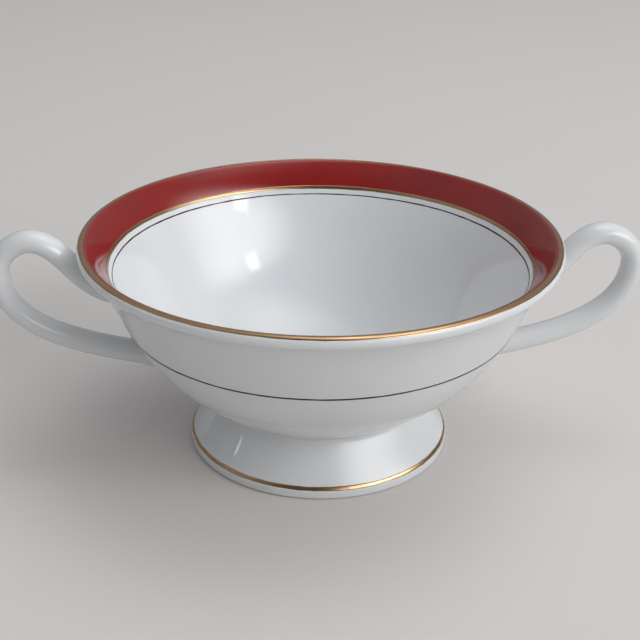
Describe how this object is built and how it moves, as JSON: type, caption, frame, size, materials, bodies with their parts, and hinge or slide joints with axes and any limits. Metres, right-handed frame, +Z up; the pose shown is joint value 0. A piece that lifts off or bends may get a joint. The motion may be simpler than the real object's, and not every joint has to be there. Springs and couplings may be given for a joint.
{
  "type": "soup cup",
  "caption": "Footed soup cup of white glazed china: a round flared bowl with side loop handles, a red band inside the rim and fine gold lines, for serving soup.",
  "frame": {"origin": "centre of the foot on the surface that the cup stands on", "axes": "+Z up along the bowl's axis, +X through the middle of the right handle, handles on the X axis"},
  "size_m": [0.1678, 0.1218, 0.059],
  "materials": {
    "china": "white glossy glaze",
    "iron_red": "glossy fired-on iron red",
    "gold": "burnished gold, a little worn",
    "hairline": "thin dark gold line"
  },
  "bodies": {
    "root": {"bowl": "china", "foot": "china", "left_handle": "china", "right_handle": "china", "foot_joint_slip": "china", "left_upper_joint_slip": "china", "left_lower_joint_slip": "china", "right_upper_joint_slip": "china", "right_lower_joint_slip": "china", "red_band": "iron_red", "rim_gold_line": "gold", "band_gold_line": "gold", "inner_hairline": "hairline", "outer_hairline": "hairline", "foot_gold_line": "gold"}
  },
  "joints": []
}
